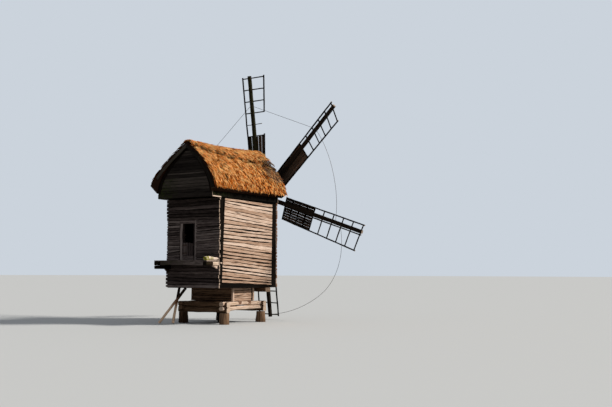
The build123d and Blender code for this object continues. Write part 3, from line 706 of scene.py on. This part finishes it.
def straw_bundles(count, seed):
    """Mesh of small bundles of stalks, all laid along X from the same place. Real straw is 4 mm thick, too
    fine to show here, so a stalk is drawn 12 to 24 mm wide."""
    rng = random.Random(seed)
    bm = new_piece()
    finish_and_shade = bm.loops.layers.float_color["finish_and_shade"]
    for _ in range(count * STALKS):
        made = bmesh.ops.create_grid(bm, x_segments=2, y_segments=1, size=0.5)["verts"]
        for v in made:
            if v.co.x > 0.4:
                v.co.y *= 0.5
        length, tone = rng.uniform(0.16, 0.34), rng.gauss(0, 0.27)
        lie = (Matrix.Translation((0, rng.gauss(0, 0.017), -0.02))
               @ Matrix.Rotation(rng.gauss(0, 0.14), 4, "Z")
               @ Matrix.Rotation(-rng.uniform(0, 0.25), 4, "Y")
               @ Matrix.Rotation(rng.uniform(-0.6, 0.6), 4, "X")
               @ Matrix.Diagonal((length, rng.uniform(0.012, 0.024), 1, 1)) @ Matrix.Translation((0.5, 0, 0)))
        bmesh.ops.transform(bm, matrix=lie, verts=made)
        for loop in (loop for face in {f for v in made for f in v.link_faces} for loop in face.loops):
            loop[finish_and_shade] = (tone, 0, 0, 1)
    mesh = bpy.data.meshes.new("straw_bundles")
    bm.to_mesh(mesh)
    bm.free()
    return mesh


def straw_coat(name, side, seed):
    """Bundles laid in courses down one slope and bent to its form, the ridge cap's over the rest. The right
    slope has furrows where the straw has parted and a worn grey place near the sails. Painted shade darkens
    a broken band under the cap's edge, the furrows and the left slope's rear end; a tenth of the bundles
    are darker at random."""
    rng = np.random.default_rng(seed)
    sheet = 12
    bundles = straw_bundles(sheet, seed)
    eave = ROOF_Q[-1] if side > 0 else ROOF_Q[-1] - LEFT_SHORT
    q, y = [a.ravel() for a in np.meshgrid(np.arange(-0.14, eave - 0.2, COURSE),
                                           np.arange(ROOF_Y[0] + 0.04, ROOF_Y[1] - 0.02, SPACING))]
    keep = rng.permutation(q.size)[:q.size // sheet * sheet]
    q = q[keep] + rng.normal(0, 0.05, keep.size)
    y = np.clip(y[keep] + rng.normal(0, 0.03, keep.size), ROOF_Y[0] + 0.02, ROOF_Y[1] + 0.05)
    turn = rng.normal(0, 0.18, keep.size)
    tone = rng.uniform(0.2, 1.1, keep.size) + 0.3 * (1 - q / 1.9)
    lift = rng.uniform(0, 0.06, keep.size)
    edge = np.interp(y, ROOF_Y, CAP_EDGE) + 0.06 * np.sin(y * 5.1)
    lift += np.where(q < edge - 0.25, CAP_RISE, 0)
    # Painted shadow: a broken band just under the ridge cap's edge.
    under = (q > edge - 0.14) & (q < edge) & (np.sin(y * 7.3) > -0.8)
    dark = rng.random(keep.size) < 0.1
    damp_and_shade = np.where(under, 0.85, np.where(dark, rng.uniform(0.3, 0.8, keep.size), 0))
    worn = np.zeros(keep.size)
    if side > 0:
        for place, q0, q1 in ((-2.12, 1.4, 2.9), (-0.6, 1.1, 1.8), (1.3, 1.9, 2.6)):
            furrow = (np.abs(y - place) < 0.07) & (q > q0 - 0.2) & (q < q1 - 0.2)
            # Painted shade in the furrow.
            damp_and_shade = np.where(furrow, 0.9, damp_and_shade)
            lift = np.where(furrow, 0, lift)
        grey = (y > 1.6 + 0.35 * np.abs(q - 1.7)) & (q > 0.8) & (q < 2.3)
        worn = np.where(grey, rng.uniform(0.3, 1.0, keep.size), 0)
    else:
        # Painted shade over the left slope's first 0.4 m from the rear verge.
        damp_and_shade = np.where(y < ROOF_Y[0] + 0.4, rng.uniform(0.5, 0.95, keep.size), damp_and_shade)
        lift *= 0.4
    bm = bmesh.new()
    for _ in range(keep.size // sheet):
        bm.from_mesh(bundles)
    mesh = bpy.data.meshes.new(name)
    bm.to_mesh(mesh)
    bm.free()
    bpy.data.meshes.remove(bundles)
    flat = np.empty(len(mesh.vertices) * 3, np.float32)
    mesh.vertices.foreach_get("co", flat)
    along, across, up = flat.reshape(keep.size, -1, 3).transpose(2, 0, 1)
    run = along * np.cos(turn)[:, None] - across * np.sin(turn)[:, None]
    shift = along * np.sin(turn)[:, None] + across * np.cos(turn)[:, None]
    hang = eave + 0.01 + 0.09 * (y[:, None] - ROOF_Y[0]) / (ROOF_Y[1] - ROOF_Y[0])
    down = np.minimum(q[:, None] + run, hang + 0.04 * np.sin(9 * y[:, None] + 30 * across))
    place = y[:, None] + shift
    held = np.clip(place, ROOF_Y[0] - 0.01, ROOF_Y[1] + 0.06)
    laid = roof_point(side * down, held + 0.1 * (place - held), up * (1 if side > 0 else 0.5) + lift[:, None])
    mesh.vertices.foreach_set("co", laid.astype(np.float32).ravel())
    colours = np.empty(len(mesh.loops) * 4, np.float32)
    mesh.attributes["finish_and_shade"].data.foreach_get("color", colours)
    colours = colours.reshape(keep.size, -1, 4)
    colours[:, :, 0] += tone[:, None]
    colours[:, :, 1] = worn[:, None]
    colours[:, :, 2] = damp_and_shade[:, None]
    mesh.attributes["finish_and_shade"].data.foreach_set("color", colours.ravel())
    if side < 0:
        mesh.flip_normals()
    mesh.materials.append(straw)
    piece = bpy.data.objects.new(name, mesh)
    bpy.context.scene.collection.objects.link(piece)
    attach(piece, "mill")


def thatch():
    """Thatched roof: a solid bed of straw and the stalks over it."""
    bm = new_piece()
    reach = ROOF_IN[-1][0]
    rear, front = ROOF_Y[0] + 0.03, ROOF_Y[1] - 0.03
    inner = [Vector((s * x + RIDGE_X * (1 - x / reach), rear, EAVE_Z + h))
             for s, points in ((1, ROOF_IN[::-1]), (-1, ROOF_IN[1:])) for x, h in points]
    q = np.linspace(ROOF_Q[0] + LEFT_SHORT + 0.12, ROOF_Q[-1] - 0.03, 45)
    outer = [Vector(p) for p in roof_point(q, np.full(45, rear), np.full(45, -0.03))]
    ring = [bm.verts.new(p) for p in outer + inner]
    edges = [bm.edges.new((a, b)) for a, b in zip(ring, ring[1:] + ring[:1])]
    bmesh.ops.spin(bm, geom=edges + [bm.faces.new(ring)], angle=0, steps=36, dvec=(0, (front - rear) / 36, 0))
    bmesh.ops.recalc_face_normals(bm, faces=bm.faces)
    finish_and_shade = bm.loops.layers.float_color["finish_and_shade"]
    for v in bm.verts:
        v.co += noise.noise_vector(v.co * 5) * 0.015
    # The bed's straw is near-black through the third share: painted shade on the eaves' undersides and the
    # verge faces.
    for loop in (loop for face in bm.faces for loop in face.loops):
        loop[finish_and_shade] = (0.3 + 0.4 * noise.noise(loop.vert.co * 9), 0, 0.97, 1)
    keep_piece(bm, "thatch_bed", "mill", [straw], ["thatch_left", "thatch_right", "ridge_cap"])
    straw_coat("thatch_straws_left", -1, seed=2)
    straw_coat("thatch_straws_right", 1, seed=4)


def verge_boards():
    """Mossy boards nailed along the thatch's rear edge, in three lengths on each slope."""
    bm = new_piece()
    y = ROOF_Y[0] + 0.012
    for s in (-1, 1):
        for k, (q0, q1) in enumerate(((0.0, 1.2), (1.16, 2.2), (2.16, 2.75 if s < 0 else 3.14))):
            start, end = [Vector(roof_point(np.array(s * q), np.array(y), np.array(-0.19))) for q in (q0, q1)]
            # The right slope's boards are at a low tone: painted shade under the overhanging straw.
            timber(bm, start, end, 0.16, 0.024, side=(end - start).cross(Vector((0, 1, 0))).normalized(),
                   seed=k + s, tone=0.9 if s < 0 else 0.1, moss=0.35 if s < 0 else 0.1, rough=0.01)
    keep_piece(bm, "verge_boards", "mill", [gable_board], ())


def sail_place(i):
    """Where sail i lies: its stock runs up from the hub before the turn by the stock's angle."""
    angle = math.radians(STOCK_ANGLES[i % 3] + 180 * (i // 3))
    return (Matrix.Translation(HUB) @ Matrix.Rotation(TILT, 4, "X")
            @ Matrix.Translation((0, STOCK_OFFSETS[i % 3], 0)) @ Matrix.Rotation(angle, 4, "Y"))


def trail_at(i, r):
    """Distance of a sail's wide edge from its stock at a radius."""
    _, inner, outer = SAIL_EDGES[i]
    return inner + (outer - inner) * (r - SAIL_IN) / (SAIL_R - SAIL_IN)


def sail(i):
    """Lattice and boards of one sail."""
    rng = random.Random(60 + i)
    lead, slant, start, board_end = SAIL_EDGES[i][0], SLANTS[i], BOARD_STARTS[i], BOARD_ENDS[i]
    y = STOCK_T / 2 + BAR / 2
    bm = new_piece()
    look = dict(rough=0.008, chamfer=0.008, step=0.3, tone=-0.3)
    side = (1, 0, 0)
    timber(bm, (-lead, y, start), (-lead, y, SAIL_R), BAR, BAR, side=side, seed=i, **look)
    end = SAIL_R - slant
    for r0, r1 in ([(start, BREAK_FROM), (BREAK_TO, end)] if i == 0 else [(start, end)]):
        timber(bm, (trail_at(i, r0), y, r0), (trail_at(i, r1), y, r1), BAR, BAR, side=side, seed=i + r0,
               **look)
    rung_gap = (SAIL_R - TIP_OVER - board_end) / (RUNGS - 1)
    rungs = [(board_end + rung_gap * k, i == 0 and k == 1) for k in range(RUNGS)]
    if i == 2:
        rungs += [(start + (board_end - start) * k / 4, False) for k in (1, 2, 3)]
    for r, stub in rungs:
        reach = trail_at(i, r)
        x = STUB if stub else reach
        low = r - slant * (r - SAIL_IN) / (SAIL_R - SAIL_IN) * (x + lead) / (reach + lead)
        wide = BAR * (0.55 if stub else 0.85)
        timber(bm, (-lead, y, r), (x, y, low), wide, wide, seed=r + i * 9.3, **look)
    low = start + BAR / 2
    timber(bm, (-lead, y, low), (trail_at(i, start), y, low), BAR, BAR, seed=i + 4.4, **look)
    if i == 2:
        timber(bm, (THIN_BAR_X, y, board_end), (THIN_BAR_X, y, SAIL_R - TIP_OVER), THIN_BAR, THIN_BAR,
               side=side, seed=8.8, **look)
    count, share, pale = SLATS[i]
    board_y = y + BAR / 2 + PANEL_T / 2
    drop = slant * (board_end - SAIL_IN) / (SAIL_R - SAIL_IN)
    for k in range(count):
        t = (k + 0.5) / count
        x0 = -lead + (trail_at(i, start) + lead) * t
        x1 = -lead + (trail_at(i, board_end) + lead) * t
        top = board_end - drop * t - rng.uniform(0, 0.03)
        widths = [(trail_at(i, r) + lead) / count * share for r in (start, board_end)]
        timber(bm, (x0, board_y, start), (x1, board_y, top), tuple(widths), PANEL_T, side=side,
               seed=rng.uniform(0, 50), tone=rng.uniform(0, 0.6) + 0.4 * t + pale,
               moss=0.3 if i == 0 and t < 0.5 else 0.0, chamfer=0.003, rough=0.006, step=0.35)
    bm.transform(sail_place(i))
    keep_piece(bm, f"sail_{i + 1}_lattice", "rotor", [sail_wood], [f"sail_{i + 1}"])


def stocks():
    """Through stocks, each tapered to both tips, the upright one with moss along its upper half."""
    for i, letter in enumerate("abc"):
        bm = new_piece()
        for s in (-1, 1):
            timber(bm, (0, 0, 0), (0, 0, s * SAIL_R), (STOCK_W, STOCK_TIP + 0.02), STOCK_T, side=(1, 0, 0),
                   seed=i * 3.3 + s, tone=0.25, moss=0.7 if i == 0 and s > 0 else 0.05, chamfer=0.02,
                   rough=0.012)
        bm.transform(sail_place(i))
        keep_piece(bm, f"stock_{letter}_timber", "rotor", [sail_wood], [f"stock_{letter}"])


def poles():
    """Crossed tail poles, darkened at the top as painted shade and pale below as painted sunlight."""
    bm = new_piece()
    for i, (top, foot) in enumerate(zip(POLE_TOPS, POLE_FEET)):
        # Tone runs from painted shade at the top to painted sunlight at the foot.
        timber(bm, (*top, POLE_TOP_Z), (*foot, POLE_FOOT_Z), (0.14, 0.13), (0.14, 0.13), side=(0, 1, 0),
               round_=True, seed=i + 1.5, tone=(-1.1, 2.6), rough=0.01, step=0.15)
    keep_piece(bm, "tail_pole_rounds", "mill", [pole_wood], ["tail_poles"])


def frame_finish():
    """Finish of the solids that stay as they are."""
    finishes = [(timber_along[0], ["floor_bearers", "cross_beams", "crown_beam", "floor"]),
                (timber_along[1], ["sills", "windshaft"]),
                (timber_along[2], ["studs", "box_posts", "centre_post", "rafters", "bargeboards"]),
                (tie_wood, ["post_ties"]), (wire, ["ring_cable"])]
    for material, names in finishes:
        for name in names:
            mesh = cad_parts[name].data
            mesh.materials.clear()
            mesh.materials.append(material)


def studio():
    """Pale floor and sky, one broad key light from the right and even fill."""
    material, tree, shader = surface("studio_floor")
    seen = node(tree, "ShaderNodeLightPath").outputs["Is Camera Ray"]
    tint = node(tree, "ShaderNodeMix", {0: seen, 6: linear("#85837E"), 7: linear("#D2D3D2")},
                data_type="RGBA")
    tree.links.new(tint.outputs[2], shader.inputs["Base Color"])
    shader.inputs["Roughness"].default_value = 0.9
    bm = bmesh.new()
    bmesh.ops.create_circle(bm, cap_ends=True, segments=64, radius=400)
    mesh = bpy.data.meshes.new("studio_floor")
    bm.to_mesh(mesh)
    bm.free()
    mesh.materials.append(material)
    floor = bpy.data.objects.new("studio_floor", mesh)
    bpy.context.scene.collection.objects.link(floor)
    lamp = bpy.data.lights.new("key", "SUN")
    lamp.energy = 3.5
    lamp.angle = math.radians(9)
    lamp.color = (1.0, 0.96, 0.9)
    key = bpy.data.objects.new("key", lamp)
    key.rotation_mode = "QUATERNION"
    key.rotation_quaternion = Vector((-0.72, -0.40, -0.56)).to_track_quat("-Z", "Y")
    bpy.context.scene.collection.objects.link(key)
    world = bpy.data.worlds.new("studio")
    bpy.context.scene.world = world
    world.use_nodes = True
    tree = world.node_tree
    tree.nodes.clear()
    seen = node(tree, "ShaderNodeLightPath").outputs["Is Camera Ray"]
    fill = node(tree, "ShaderNodeBackground", {"Color": (0.88, 0.93, 1.0, 1), "Strength": 0.32})
    sky = node(tree, "ShaderNodeBackground", {"Color": linear("#CBD3DC"), "Strength": 1.0})
    both = node(tree, "ShaderNodeMixShader", {0: seen, 1: fill.outputs[0], 2: sky.outputs[0]})
    node(tree, "ShaderNodeOutputWorld", {"Surface": both.outputs[0]})


def camera():
    """Camera at the photograph's place: low, before the tail corner, looking slightly up."""
    away = Matrix.Rotation(YAW, 3, "Z") @ Vector((-math.sin(AZIMUTH), math.cos(AZIMUTH), 0))
    right = away.cross(Vector((0, 0, 1)))
    look = away * math.cos(PITCH) + Vector((0, 0, 1)) * math.sin(PITCH)
    up = right.cross(look)
    across = right * math.cos(ROLL) + up * math.sin(ROLL)
    data = bpy.data.cameras.new("camera")
    data.sensor_width = 36
    data.lens = LENS
    data.clip_end = 1000
    eye = bpy.data.objects.new("camera", data)
    eye.matrix_world = (Matrix.Translation(EYE)
                        @ Matrix((across, -look.cross(across), -look)).transposed().to_4x4())
    bpy.context.scene.collection.objects.link(eye)
    bpy.context.scene.camera = eye


walls()
tail_wall()
posts()
beams()
gables()
doorway()
door()
gallery()
crib()
bearing_box()
thatch()
verge_boards()
for index in range(6):
    sail(index)
stocks()
poles()
frame_finish()
studio()
camera()
bpy.data.meshes.remove(scratch)
bpy.context.scene.view_settings.view_transform = "Standard"
